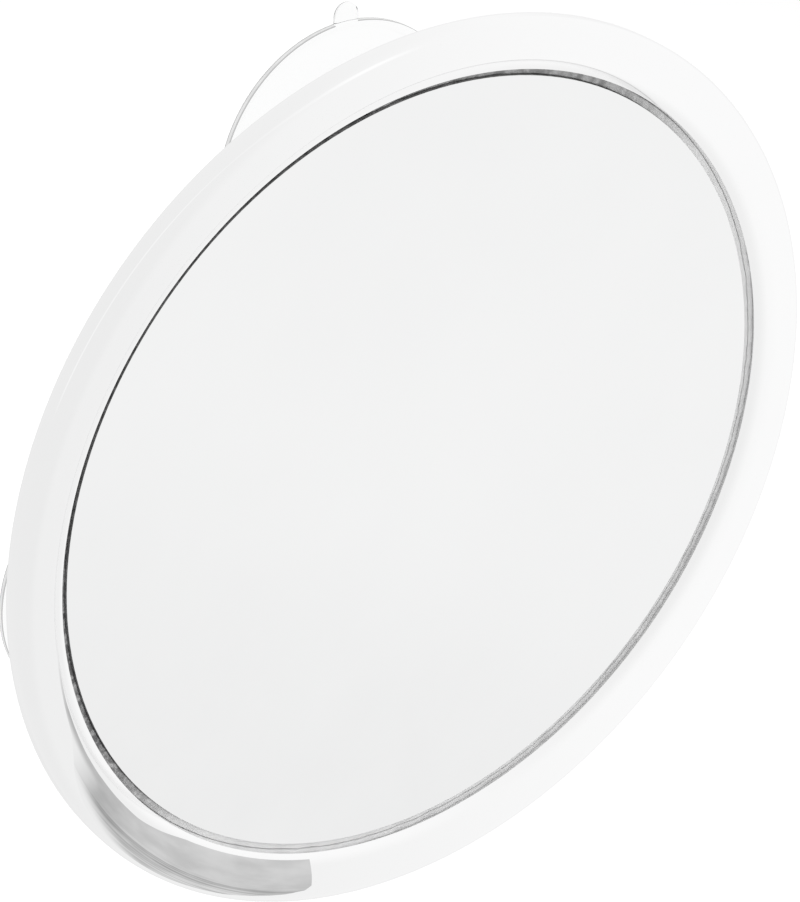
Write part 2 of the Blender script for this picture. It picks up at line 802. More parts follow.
fit(make_foam(), "foam_pad", "mirror_head", "foam", foam())

# %% [markdown]
# The cover closes the back. It is a dished shell of satin plastic: flat where the cups stand, then sloping
# up to the ring, with a tongue that fits the ring's groove. The plastic has a fine grain, and specks of
# dust lie on it.

# %% Satin plastic
DUST_GREY = (0.6, 0.6, 0.6, 1)


def satin_plastic():
    material, tree, shader = finish("satin_plastic", Roughness=0.32, IOR=1.46)
    tint = clouded(tree, (0.76, 0.76, 0.77), (0.82, 0.82, 0.83), Size=0.04, Contrast=1.0)
    dust = effect(tree, SPOTS, Size=0.003, Share=0.035, Softness=0.03).outputs["Mask"]
    link(tree, mixed(tree, dust, tint, DUST_GREY), shader.inputs["Base Color"])
    grain = effect(tree, RIPPLES, Size=0.0005, Height=0.00001, Detail=3.0)
    link(tree, grain.outputs["Normal"], shader.inputs["Normal"])
    return material


SATIN_PLASTIC = satin_plastic()

# %% [markdown]
# The inner side of the cover follows the outer one at a constant wall, so it is found by moving the outer
# line sideways. The inner side also has a low ring under the foam, a rib that stiffens the cover under the
# ring's ledge, and the tongue. On the outside there is only a shallow round recess in the middle.

# %% Outline of the back cover
COVER_SIDES = 192
SHELL_WALL = 0.0022
SHELL_BACK = CUP_HEIGHT + GAP
SHELL_FLOOR = SHELL_BACK + SHELL_WALL
FLAT_INSET = 0.0112
SHOULDER_INSET = 0.0039
SHOULDER_DROP = 0.0034
RECESS_RADIUS = 0.017
RECESS_DEPTH = 0.0007
FOAM_RING_RADIUS = FOAM_RADIUS - 0.002
FOAM_RING_WIDTH = 0.003
RIB_INSET = 0.00185
RIB_WIDTH = 0.0016
SMALL_ROUNDING = 0.0003
COVER_ROUNDING = 0.0035  # of the outer bends


def beside(line, distance):
    """The line moved to its left, with mitred corners."""
    normals = [(b - a).normalized().orthogonal() for a, b in zip(line, line[1:])]
    moved = [line[0] + normals[0] * distance]
    for corner, before, after in zip(line[1:-1], normals, normals[1:]):
        moved.append(corner + (before + after) * (distance / (1 + before.dot(after))))
    moved.append(line[-1] + normals[-1] * distance)
    return moved


def height_on(line, radius):
    """The height of a line of points at one radius."""
    for low, high in zip(line, line[1:]):
        if radius <= high.x:
            break
    return low.y + (radius - low.x) * (high.y - low.y) / (high.x - low.x)


def cover_outline():
    """From the middle of the inner side round the tongue to the middle of the back."""
    flat = SHELL_RADIUS - FLAT_INSET
    outer = [
        Vector((0, SHELL_BACK)),
        Vector((flat, SHELL_BACK)),
        Vector((SHELL_RADIUS - SHOULDER_INSET, LEDGE_BOTTOM - SHOULDER_DROP)),
        Vector((SHELL_RADIUS, RING_REAR - GAP)),
    ]
    inner = beside(outer, SHELL_WALL)
    foam_front = height_of("foam_pad", "back") - GAP
    foam_inner = FOAM_RING_RADIUS - FOAM_RING_WIDTH
    rib_outer = LIP_RADIUS - RIB_INSET
    rib_inner = rib_outer - RIB_WIDTH
    rib_top = LEDGE_BOTTOM - GAP
    tongue_inner = SHELL_RADIUS - SHELL_WALL
    corners = [
        (0, SHELL_FLOOR, 0),
        (foam_inner, SHELL_FLOOR, SMALL_ROUNDING),
        (foam_inner, foam_front, SMALL_ROUNDING),
        (FOAM_RING_RADIUS, foam_front, SMALL_ROUNDING),
        (FOAM_RING_RADIUS, SHELL_FLOOR, SMALL_ROUNDING),
        (inner[1].x, inner[1].y, SHELL_WALL),
        (rib_inner, height_on(inner, rib_inner), 0),
        (rib_inner, rib_top, SMALL_ROUNDING),
        (rib_outer, rib_top, SMALL_ROUNDING),
        (rib_outer, height_on(inner, rib_outer), 0),
        (tongue_inner, height_on(inner, tongue_inner), 0),
        (tongue_inner, SHELL_TOP, SMALL_ROUNDING),
        (SHELL_RADIUS, SHELL_TOP, SMALL_ROUNDING),
        (SHELL_RADIUS, outer[3].y, 0),
        (outer[2].x, outer[2].y, COVER_ROUNDING),
        (flat, SHELL_BACK, COVER_ROUNDING),
        (RECESS_RADIUS + RECESS_DEPTH, SHELL_BACK, SMALL_ROUNDING),
        (RECESS_RADIUS, SHELL_BACK + RECESS_DEPTH, SMALL_ROUNDING),
        (0, SHELL_BACK + RECESS_DEPTH, 0),
    ]
    return softened(corners)


print("the cover's outline has", len(cover_outline()), "points")

# %% [markdown]
# Each cup stands in a hole with a raised collar round it, and each screw in a pocket. The holes are cut
# with turned cutters whose outlines flare at the surface, which leaves a small chamfer round every hole, as
# on a moulding. The collars are turned rings whose outer foot runs out flat into the cover's back, one
# hundredth of a millimetre proud.

# %% Holes, pockets and collars
CUP_NAMES = ("top", "left", "right")
HOLE_SIDES, POCKET_SIDES, COLLAR_SIDES = 64, 48, 96
HOLE_RADIUS = 0.0038
HOLE_FLARE = 0.0004
COLLAR_INNER, COLLAR_OUTER = 0.007, 0.0086
COLLAR_HEIGHT = 0.0012
POCKET_RADIUS = 0.0026
POCKET_FLOOR = SHELL_BACK + 0.0018
BOSS_RADIUS = 0.004
BOSS_TOP = POST_BOTTOM - GAP
OVERRUN = 0.002  # of a cutter past the surface
PROUD = 0.00001


def cup_place(side):
    """Where a cup stands, read from its neck's solid."""
    low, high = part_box(f"cup_{side}_stud")
    return (low.x + high.x) / 2, (low.z + high.z) / 2


def make_cutters():
    """All holes and pockets as one tool."""
    shape = bmesh.new()
    hole = [
        (0, SHELL_BACK - OVERRUN),
        (HOLE_RADIUS + HOLE_FLARE + OVERRUN, SHELL_BACK - OVERRUN),
        (HOLE_RADIUS, SHELL_BACK + HOLE_FLARE),
        (HOLE_RADIUS, SHELL_FLOOR - HOLE_FLARE),
        (HOLE_RADIUS + HOLE_FLARE + OVERRUN, SHELL_FLOOR + OVERRUN),
        (0, SHELL_FLOOR + OVERRUN),
    ]
    pocket = [
        (0, SHELL_BACK - OVERRUN),
        (POCKET_RADIUS + HOLE_FLARE + OVERRUN, SHELL_BACK - OVERRUN),
        (POCKET_RADIUS, SHELL_BACK + HOLE_FLARE),
        (POCKET_RADIUS, POCKET_FLOOR),
        (PILOT_RADIUS, POCKET_FLOOR),
        (PILOT_RADIUS, SHELL_FLOOR + OVERRUN),
        (0, SHELL_FLOOR + OVERRUN),
    ]
    for side in CUP_NAMES:
        spin(shape, hole, HOLE_SIDES, across=cup_place(side)[0], up=cup_place(side)[1])
    for across, up in screw_places():
        spin(shape, pocket, POCKET_SIDES, across=across, up=up)
    return piece_from("cover_cutters", shape)


def make_extras():
    """The collars round the cups' holes and the bosses over the screws' pockets."""
    shape = bmesh.new()
    buried = SHELL_BACK + SHELL_WALL / 2
    collar = softened(
        [
            (COLLAR_INNER, buried, 0),
            (COLLAR_INNER, SHELL_BACK - COLLAR_HEIGHT, SMALL_ROUNDING),
            (COLLAR_OUTER, SHELL_BACK - COLLAR_HEIGHT, SMALL_ROUNDING),
            (COLLAR_OUTER, SHELL_BACK - PROUD, SMALL_ROUNDING * 2),
            (COLLAR_OUTER + SMALL_ROUNDING * 4, SHELL_BACK - PROUD, 0),
            (COLLAR_OUTER + SMALL_ROUNDING * 4, buried, 0),
        ]
    )
    boss = softened(
        [
            (PILOT_RADIUS, SHELL_FLOOR - PROUD, 0),
            (BOSS_RADIUS, SHELL_FLOOR - PROUD, 0),
            (BOSS_RADIUS, BOSS_TOP, SMALL_ROUNDING),
            (PILOT_RADIUS, BOSS_TOP, SMALL_ROUNDING / 2),
        ]
    )
    for side in CUP_NAMES:
        spin(shape, collar, COLLAR_SIDES, ring=True, across=cup_place(side)[0], up=cup_place(side)[1])
    for across, up in screw_places():
        spin(shape, boss, POCKET_SIDES, ring=True, across=across, up=up)
    return piece_from("cover_extras", shape)


print("cups stand at", [tuple(round(value, 4) for value in cup_place(side)) for side in CUP_NAMES])

# %% [markdown]
# The turned shell loses the holes and pockets to one cutting tool. The collars and bosses are put in after
# the cut, as separate closed shells.

# %% Back cover
cover = turned("back_cover", cover_outline(), COVER_SIDES)
reshape(cover, "DIFFERENCE", make_cutters())
join(cover, make_extras())
fit(cover, "back_shell", "mirror_head", "shell_plastic", SATIN_PLASTIC)

# %% [markdown]
# The cover is held by three small screws with pan heads and a cross recess. Zinc plating is a soft grey
# metal, and a turned head has very fine rings in it.

# %% Zinc
ZINC_DULL, ZINC_BRIGHT = (0.5, 0.5, 0.5, 1), (0.68, 0.68, 0.67, 1)


def zinc():
    material, tree, shader = finish("bright_zinc", Metallic=1.0)
    tint = effect(tree, CLOUDS, Size=0.001, Contrast=2.0, First=ZINC_DULL, Second=ZINC_BRIGHT)
    link(tree, tint.outputs["Colour"], shader.inputs["Base Color"])
    link(tree, levels(tree, tint.outputs["Mask"], 0.2, 0.38), shader.inputs["Roughness"])
    grain = effect(tree, RIPPLES, Size=0.0002, Height=0.000006)
    link(tree, grain.outputs["Normal"], shader.inputs["Normal"])
    return material


BRIGHT_ZINC = zinc()

# %% [markdown]
# A thread this small reads as a stack of rings, so a zigzag in the outline is enough. The cross recess is
# cut by one closed cross-shaped tool that narrows towards its bottom. Two crossed bars in one tool would
# overlap, and a Boolean can't be trusted with a tool that cuts through itself.

# %% Cover screws
SCREW_SIDES = 48
SCREW_HEAD_RADIUS = 0.0023
SCREW_HEAD_HEIGHT = 0.0013
SCREW_HEAD_ROUND, SCREW_SEAT_ROUND = 0.0011, 0.0001
SHANK_RADIUS = 0.0011
THREAD_PITCH = 0.0008
THREAD_DEPTH = 0.0002
SLOT_WIDTH = 0.0006
SLOT_LENGTH = 0.0028
SLOT_DEPTH = 0.0007
SLOT_TAPER = 0.5
TIP_LENGTH = THREAD_PITCH * 1.5


def screw_outline(base, tip):
    """From the middle of the head, which lies nearest to the wall, to the tip."""
    seat = base + SCREW_HEAD_HEIGHT
    line = [
        (0, base, 0),
        (SCREW_HEAD_RADIUS, base, SCREW_HEAD_ROUND),
        (SCREW_HEAD_RADIUS, seat, SCREW_SEAT_ROUND),
        (SHANK_RADIUS, seat, 0),
    ]
    height = seat + THREAD_PITCH
    while height < tip - TIP_LENGTH:
        line.append((SHANK_RADIUS - THREAD_DEPTH, height, 0))
        line.append((SHANK_RADIUS, height + THREAD_PITCH / 2, 0))
        height += THREAD_PITCH
    line += [(SHANK_RADIUS - THREAD_DEPTH, height, 0), (0, tip, 0)]
    return softened(line)


def cross_corners(length, width):
    """The twelve corners of a cross, arm by arm."""
    half, reach = width / 2, length / 2
    arm = [Vector((half, half)), Vector((reach, half)), Vector((reach, -half))]
    turns = [Matrix.Rotation(-quarter * math.pi / 2, 2) for quarter in range(4)]
    return [turn @ corner for turn in turns for corner in arm]


def make_slots(place, base):
    """The tool for the cross recess."""
    shape = bmesh.new()
    mouth = cross_corners(SLOT_LENGTH, SLOT_WIDTH)
    bottom = cross_corners(SLOT_LENGTH * SLOT_TAPER, SLOT_WIDTH * SLOT_TAPER)
    below = [shape.verts.new((place[0] + x, place[1] + y, base - SLOT_DEPTH)) for x, y in mouth]
    above = [shape.verts.new((place[0] + x, place[1] + y, base + SLOT_DEPTH)) for x, y in bottom]
    shape.faces.new(below)
    shape.faces.new(above)
    for index in range(len(below)):
        shape.faces.new((below[index - 1], below[index], above[index], above[index - 1]))
    return piece_from("slots", shape)


def make_screw(number, place):
    """One screw with its recess, tied to the frame."""
    solid = f"back_screw_{number}"
    base = height_of(solid, "back")
    outline = screw_outline(base, height_of(solid, "front"))
    screw = turned(f"cover_screw_{number}", outline, SCREW_SIDES, across=place[0], up=place[1])
    reshape(screw, "DIFFERENCE", make_slots(place, base))
    fit(screw, solid, "mirror_head", "screw_steel", BRIGHT_ZINC)


for number, place in enumerate(screw_places(), start=1):
    make_screw(number, place)

# %% [markdown]
# The cups are clear soft plastic. Light passes and bends in it, so Transmission Weight is 1. What makes
# such a cup visible on white is mostly its rim, where one looks along the plastic and not through it, and
# the plastic takes a little light on that long way. A Volume Absorption shader does that. Its density is
# per metre. The real plastic bends light more than an IOR of 1.15 says, but a higher value traps the light
# in the thin lip, which goes black. The cut edge of the lip has a finish of its own: it is greyer, and
# darkest along its two corners.

# %% Soft clear plastic
SOFT_IOR = 1.15
LIP_THICKNESS = 0.001
CORNER_STARTS, CORNER_WHOLE = LIP_THICKNESS * 0.22, LIP_THICKNESS * 0.36  # from the lip's middle
CORNER_GREY = (0.3, 0.3, 0.3, 1)


def soft_clear():
    material, tree, shader = finish("soft_clear_plastic", IOR=SOFT_IOR)
    shader.inputs["Transmission Weight"].default_value = 1.0
    shader.inputs["Base Color"].default_value = (0.993, 0.995, 0.995, 1)
    marks = effect(tree, CLOUDS, Size=0.008, Share=0.6, Contrast=3.0)
    link(tree, levels(tree, marks.outputs["Mask"], 0.02, 0.09), shader.inputs["Roughness"])
    ripple = effect(tree, RIPPLES, Size=0.004, Height=0.00002)
    link(tree, ripple.outputs["Normal"], shader.inputs["Normal"])
    smoke = node(tree, "ShaderNodeVolumeAbsorption", {"Color": (0.2, 0.22, 0.22, 1), "Density": 12.0})
    link(tree, smoke.outputs["Volume"], tree.nodes["Material Output"].inputs["Volume"])
    return material


def lip_wall():
    """The cut edge of the lip: it takes more of the light, most of all along its two corners."""
    material, tree, shader = finish("soft_clear_lip", IOR=SOFT_IOR, Roughness=0.08)
    shader.inputs["Transmission Weight"].default_value = 1.0
    parts = node(tree, "ShaderNodeSeparateXYZ", {"Vector": place_on(tree)})
    from_middle = calculated(tree, "ADD", parts.outputs["Y"], LIP_THICKNESS / 2)
    corner = eased(tree, calculated(tree, "ABSOLUTE", from_middle), CORNER_STARTS, CORNER_WHOLE)
    clouds = clouded(tree, (0.5, 0.5, 0.5), (0.78, 0.78, 0.78), Size=0.004, Contrast=2.0)
    link(tree, mixed(tree, corner, clouds, CORNER_GREY), shader.inputs["Base Color"])
    return material


SOFT_CLEAR = soft_clear()
LIP_WALL = lip_wall()

# %% [markdown]
# A cup is one soft moulding on the real mirror: a flared bell with a thin lip and a finger tab, a thick
# crown, and above it a neck with a mushroom head that is pulled through the hole in the cover. The bell is
# its own piece here, because it flattens when the mirror is pressed on a wall while the head stays where it
# is. Outside and inside are power curves: the first nearly a cone, the second steeper towards the lip.

# %% Outline of a cup's bell
BELL_SIDES = 128
BELL_STEPS = 28
CROWN_STEPS = 4  # of them, which the rounding at the foot of the crown takes up
CUP_RADIUS = 0.025
LIP_ROUND = 0.0001
LIP_LAND = 0.0016
BELL_HEIGHT = 0.0108
BELL_ROOF = 0.0028
BELL_POWER = 1.15
HOLLOW_POWER = 0.75
CROWN_RADIUS = 0.0062
CROWN_FOOT = 0.0074
CROWN_ROUND, FOOT_ROUND = 0.001, 0.0012
NECK_RADIUS = 0.0035
SOCKET_FLOOR = CUP_HEIGHT - 0.0038  # leaves room for the neck when the bell is pressed flat


def bell_outline():
    """From the middle of the socket over the outside and the lip to the middle of the inside."""
    socket = NECK_RADIUS + GAP
    crown = [
        (0, SOCKET_FLOOR, 0),
        (socket, SOCKET_FLOOR, 0),
        (socket, CUP_HEIGHT, 0),
        (CROWN_RADIUS, CUP_HEIGHT, CROWN_ROUND),
        (CROWN_FOOT, BELL_HEIGHT, FOOT_ROUND),
        (CUP_RADIUS, LIP_THICKNESS, 0),
    ]
    outside = []
    for step in range(CROWN_STEPS, BELL_STEPS + 1):
        share = 1 - step / BELL_STEPS
        radius = CUP_RADIUS - (CUP_RADIUS - CROWN_FOOT) * share
        outside.append((radius, LIP_THICKNESS + (BELL_HEIGHT - LIP_THICKNESS) * share**BELL_POWER))
    upper, lower = (CUP_RADIUS, LIP_THICKNESS, LIP_ROUND), (CUP_RADIUS, 0, LIP_ROUND)
    lip = softened([(*outside[-2], 0), upper, lower])
    inside = []
    for step in range(BELL_STEPS + 1):
        share = step / BELL_STEPS
        radius = (CUP_RADIUS - LIP_LAND) * (1 - share)
        inside.append((radius, (BELL_HEIGHT - BELL_ROOF) * share**HOLLOW_POWER))
    return softened(crown)[:-1] + outside[:-1] + lip[1:] + inside


print("a bell's outline has", len(bell_outline()), "points")

# %% [markdown]
# The finger tab is a flat tongue with a round end, pushed up from a drawn border and bevelled a little. It
# starts inside the lip, and a Boolean joins it to the bell.

# %% Finger tab
TAB_WIDTH = 0.0046
TAB_REACH = 0.0036
TAB_ROOT = 0.0012
TAB_THICKNESS = 0.001
TAB_BEVEL = TAB_THICKNESS * 0.3
TAB_STEPS, BEVEL_STEPS = 24, 3
TAB_LIFT = 0.0002
TAB_TURNS = {"top": math.radians(3), "left": 0, "right": 0}  # the top cup is turned a little


def make_tab(place, turn):
    """One tab, turned about the axis of its cup."""
    half = TAB_WIDTH / 2
    straight = CUP_RADIUS + TAB_REACH - half
    border = [(-half, CUP_RADIUS - TAB_ROOT), (half, CUP_RADIUS - TAB_ROOT)]
    border += [(point.x, point.y) for point in arc((0, straight), half, 0, 180, TAB_STEPS)]
    shape = bmesh.new()
    face = shape.faces.new([shape.verts.new((x, y, TAB_LIFT)) for x, y in border])
    grown = bmesh.ops.extrude_face_region(shape, geom=[face])["geom"]
    top = [item for item in grown if isinstance(item, bmesh.types.BMVert)]
    bmesh.ops.translate(shape, verts=top, vec=(0, 0, TAB_THICKNESS))
    rims = []
    for edge in shape.edges:
        first, second = edge.verts
        if abs(first.co.z - second.co.z) < MERGE_DISTANCE:
            rims.append(edge)
    bmesh.ops.bevel(
        shape, geom=rims, offset=TAB_BEVEL, segments=BEVEL_STEPS, affect="EDGES", profile=0.5
    )
    bmesh.ops.rotate(shape, verts=shape.verts, matrix=Matrix.Rotation(turn, 3, "Z"))
    bmesh.ops.translate(shape, verts=shape.verts, vec=(place[0], place[1], 0))
    return piece_from("tab", shape)


print("a tab reaches", round(TAB_REACH * 1000, 1), "mm past the lip")

# %% [markdown]
# Pressed on a wall the bell flattens towards the cover by the travel of its joint. The frame squashes it
# from the wall's plane along Y, and what is kept of its height follows from that travel. The faces of the
# lip's cut edge lie at the outer radius and look sideways, which is how they are found.

# %% Bells of the suction cups
LOOKS_SIDEWAYS = 0.97  # faces whose normals reach less far along Y
LIP_SLOT = 1


def make_bell(side):
    """One bell with its tab, tied to the frame and to the joint that flattens it."""
    place = cup_place(side)
    bell = turned(f"{side}_cup_bell", bell_outline(), BELL_SIDES, across=place[0], up=place[1])
    reshape(bell, "UNION", make_tab(place, TAB_TURNS[side]))
    for face in bell.data.polygons:
        radius = math.hypot(face.center.x - place[0], face.center.z - place[1])
        on_lip = CUP_RADIUS - LIP_ROUND < radius < CUP_RADIUS + LIP_ROUND
        if on_lip and abs(face.normal.y) < LOOKS_SIDEWAYS:
            face.material_index = LIP_SLOT
    fit(bell, f"cup_{side}_bell", f"{side}_bell", "soft_clear_plastic", SOFT_CLEAR, LIP_WALL)
    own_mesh(bell)


for side in CUP_NAMES:
    make_bell(side)

# %% [markdown]
# The neck and its mushroom head. The head is pushed through the cover from behind, so its edge is well
# rounded and its underside is flat, which keeps it from slipping back.

# %% Neck and head of a suction cup
NECK_SIDES = 64
HEAD_RADIUS = 0.0056
HEAD_BASE = SHELL_FLOOR + GAP
HEAD_ROUND, UNDERSIDE_ROUND, ROOT_ROUND = 0.0024, 0.0003, 0.0004


def neck_outline(root, top):
    """From the middle of the head's top to the middle of the neck's root."""
    return softened(
        [
            (0, top, 0),
            (HEAD_RADIUS, top, HEAD_ROUND),
            (HEAD_RADIUS, HEAD_BASE, UNDERSIDE_ROUND),
            (NECK_RADIUS, HEAD_BASE, UNDERSIDE_ROUND),
            (NECK_RADIUS, root, ROOT_ROUND),
            (0, root, 0),
        ]
    )


for side in CUP_NAMES:
    solid = f"cup_{side}_stud"
    outline = neck_outline(height_of(solid, "back"), height_of(solid, "front"))
    across, up = cup_place(side)
    neck = turned(f"{side}_cup_neck", outline, NECK_SIDES, across=across, up=up)
    fit(neck, solid, f"{side}_stud", "soft_clear_plastic", SOFT_CLEAR)

# %% [markdown]
# The studio is white all round, because a mirror and a plated ring look like what stands about them. The
# world answers each kind of ray on its own. To the camera and through clear plastic it is the white of the
# backdrop. As light on the object it is a softer level that the lamps add to. In reflections it is a shade
# darker at the left, and darker again where the camera looks, behind and below the mirror, which gives the
# ring's outline a thin grey edge.

# %% Levels of the world
PURE_WHITE = (1, 1, 1, 1)
SOFT_LEVEL = 0.5
LEFT_LEVEL = 0.95
RIGHT_LEVEL = 0.985
LEFT_REAR_TO_RIGHT_FRONT = (0.866, -0.5, 0.0)
WALL_CHANGE = 0.35  # the level changes between this far left and this far right
SHADE_LEVEL = -0.07
SHADE_DIRECTION = (0.557, 0.68, -0.476)  # the way the camera looks
SHADE_STARTS, SHADE_WHOLE = 0.68, 0.95  # the cosines of the angles to that direction
print("levels in reflections:", LEFT_LEVEL, "at the left and", RIGHT_LEVEL, "at the right")

# %% [markdown]
# A strip lamp draws the fine bright line along the outside of the ring. It is painted on the world, as a
# band round a line. Every direction has an X, a Y and a Z, and the line gives the band's Y for each X: far
# behind the mirror at the left, and straight above it from the middle to the right. The band gets wider
# on that way, fades out at both ends and towards the horizon, and has a dimmer part a little left of the
# middle.

# %% Strip lamp on the world
STRIP_LEVEL = 0.13
STRIP_FAR_LEFT = -0.85  # X where the line starts to come forward
STRIP_BEHIND, STRIP_ABOVE = 0.68, -0.08  # Y of the line at the left and from the middle on
STRIP_CORE, STRIP_BORDER = 0.02, 0.1  # distances from the line: whole light, no light
STRIP_WIDENS = -0.5  # X where the band starts to get wider
STRIP_WIDENING = 0.5  # from the middle on, distances from the line count this much
STRIP_LEFT_END = (-0.83, -0.76)  # X of no light, then of whole light
STRIP_RIGHT_END = (0.45, 0.2)
DIM_MIDDLE = 0.2  # to the left
DIM_CORE, DIM_BORDER = 0.15, 0.4
DIM_LEVEL, BRIGHT_LEVEL = 0.25, 0.8
STRIP_HORIZON = 0.15  # Z below which the light fades


def product(tree, first, second):
    return calculated(tree, "MULTIPLY", first, second)


def distance(tree, first, second):
    return calculated(tree, "ABSOLUTE", calculated(tree, "SUBTRACT", first, second))


def strip_lamp(tree, parts):
    """The light that the strip adds in each direction."""
    x, y, z = (parts.outputs[axis] for axis in "XYZ")
    line = eased(tree, x, STRIP_FAR_LEFT, 0.0, STRIP_BEHIND, STRIP_ABOVE)
    shrunk = eased(tree, x, STRIP_WIDENS, 0.0, 1.0, STRIP_WIDENING)
    from_line = product(tree, distance(tree, y, line), shrunk)
    band = eased(tree, from_line, STRIP_CORE, STRIP_BORDER, STRIP_LEVEL, 0.0)
    ends = product(tree, eased(tree, x, *STRIP_LEFT_END), eased(tree, x, *STRIP_RIGHT_END))
    from_dim = calculated(tree, "ABSOLUTE", calculated(tree, "ADD", x, DIM_MIDDLE))
    dimmed = eased(tree, from_dim, DIM_CORE, DIM_BORDER, DIM_LEVEL, BRIGHT_LEVEL)
    above = product(tree, eased(tree, z, 0.0, STRIP_HORIZON), dimmed)
    return product(tree, product(tree, band, ends), above)


print("the strip adds up to", round(STRIP_LEVEL * BRIGHT_LEVEL, 3))

# %% [markdown]
# The Light Path node tells the kind of a ray. Its outputs are 0 or 1, so each of them can choose between
# two levels.

# %% White world


def build_world():
    world = bpy.data.worlds.new("white_studio")
    world.use_nodes = True
    tree = world.node_tree
    path = node(tree, "ShaderNodeLightPath")
    towards = node(tree, "ShaderNodeTexCoord").outputs["Generated"]
    parts = node(tree, "ShaderNodeSeparateXYZ", {"Vector": towards})
    side = dot(tree, towards, LEFT_REAR_TO_RIGHT_FRONT)
    wall = eased(tree, side, -WALL_CHANGE, WALL_CHANGE, LEFT_LEVEL, RIGHT_LEVEL)
    shade = eased(tree, dot(tree, towards, SHADE_DIRECTION), SHADE_STARTS, SHADE_WHOLE, 0.0, SHADE_LEVEL)
    mirrored = calculated(tree, "ADD", calculated(tree, "ADD", wall, shade), strip_lamp(tree, parts))
    level = levels(tree, path.outputs["Is Glossy Ray"], SOFT_LEVEL, mirrored)
    plain = calculated(tree, "MAXIMUM", path.outputs["Is Camera Ray"], path.outputs["Is Transmission Ray"])
    background = tree.nodes["Background"]
    background.inputs["Color"].default_value = PURE_WHITE
    link(tree, levels(tree, plain, level, 1.0), background.inputs["Strength"])
    bpy.context.scene.world = world
    print("world", world.name, "has", len(tree.nodes), "nodes")


build_world()

# %% [markdown]
# White paper lies far below the mirror. Left to the lamps it would be a pale grey with a hard horizon, so
# it glows a little for the camera. Through clear plastic it has to be as white as the world, or the cups
# would show a grey patch. Reflections leave it out, and see the world instead.

# %% Pale floor
FLOOR_DROP = 0.35
FLOOR_SIZE = 6.0
FLOOR_GLOW = 0.3


def floor_paper():
    """White paper that glows a little for the camera and is plain white through the cups."""
    material, tree, shader = finish("white_paper", Roughness=0.9)
    fibre = clouded(tree, (0.86, 0.86, 0.86), (0.9, 0.9, 0.9), Size=0.4, Contrast=0.6)
    link(tree, fibre, shader.inputs["Base Color"])
    shader.inputs["Specular IOR Level"].default_value = 0.0
    path = node(tree, "ShaderNodeLightPath")
    glow = node(tree, "ShaderNodeEmission", {"Color": PURE_WHITE, "Strength": FLOOR_GLOW})
    sum_up = node(tree, "ShaderNodeAddShader")
    link(tree, shader.outputs["BSDF"], sum_up.inputs[0])
    link(tree, glow.outputs["Emission"], sum_up.inputs[1])
    for_camera = node(tree, "ShaderNodeMixShader", {"Fac": path.outputs["Is Camera Ray"]})
    link(tree, shader.outputs["BSDF"], for_camera.inputs[1])
    link(tree, sum_up.outputs["Shader"], for_camera.inputs[2])
    white = node(tree, "ShaderNodeEmission", {"Color": PURE_WHITE, "Strength": 1.0})
    choice = node(tree, "ShaderNodeMixShader", {"Fac": path.outputs["Is Transmission Ray"]})
    link(tree, for_camera.outputs["Shader"], choice.inputs[1])
    link(tree, white.outputs["Emission"], choice.inputs[2])
    link(tree, choice.outputs["Shader"], tree.nodes["Material Output"].inputs["Surface"])
    return material


def make_floor():
    shape = bmesh.new()
    bmesh.ops.create_grid(shape, x_segments=1, y_segments=1, size=FLOOR_SIZE / 2)
    mesh = bpy.data.meshes.new("studio_floor")
    shape.to_mesh(mesh)
    shape.free()
    mesh.materials.append(floor_paper())
    floor = bpy.data.objects.new("studio_floor", mesh)
    floor.location.z = -FLOOR_DROP
    floor.visible_glossy = False
    bpy.context.scene.collection.objects.link(floor)
    print(floor.name, "lies", FLOOR_DROP, "below the middle of the mirror")


make_floor()

# %% [markdown]
# Four large soft lamps: a key from the upper left near the camera, a weaker fill from the right, one above
# and one behind the wall's plane, which keeps the back of the mirror from going dark. A lamp that shows in
# a mirror burns a white hole in it, so these light the object without showing in reflections or through the
# cups.

# %% Soft lamps


def add_lamp(name, place, size, power):
    """A round lamp that is turned to the middle of the mirror."""
    light = bpy.data.lights.new(name, "AREA")
    light.shape = "DISK"
    light.size = size
    light.energy = power
    lamp = bpy.data.objects.new(name, light)
    lamp.location = place
    lamp.rotation_euler = (-Vector(place)).to_track_quat("-Z", "Y").to_euler()
    lamp.visible_glossy = False
    lamp.visible_transmission = False
    bpy.context.scene.collection.objects.link(lamp)
    print(name, "with", power, "watts")


add_lamp("key_lamp", (-0.8, -1.0, 1.1), 0.9, 8.0)
add_lamp("fill_lamp", (1.2, -0.7, 0.5), 1.0, 4.0)
add_lamp("top_lamp", (0.2, 0.6, 1.5), 1.0, 6.0)
add_lamp("back_lamp", (-0.2, 1.4, 0.5), 1.0, 5.0)

# %% [markdown]
# The camera stands a little over half a metre away, to the left of the mirror and above it, and is rolled
# by five degrees. Its place was found by fitting circles of the real sizes to the ellipses in the
# photograph.

# %% Camera
CAMERA_TURN = math.radians(-39.3)  # round Z, from straight in front
CAMERA_RISE = math.radians(28.44)
CAMERA_ROLL = math.radians(4.95)
CAMERA_DISTANCE = 0.5772
CAMERA_OFFSET = (0.00462, -0.00402)  # of the view's middle from the glass's centre, right and up
CAMERA_LENS = 135.2


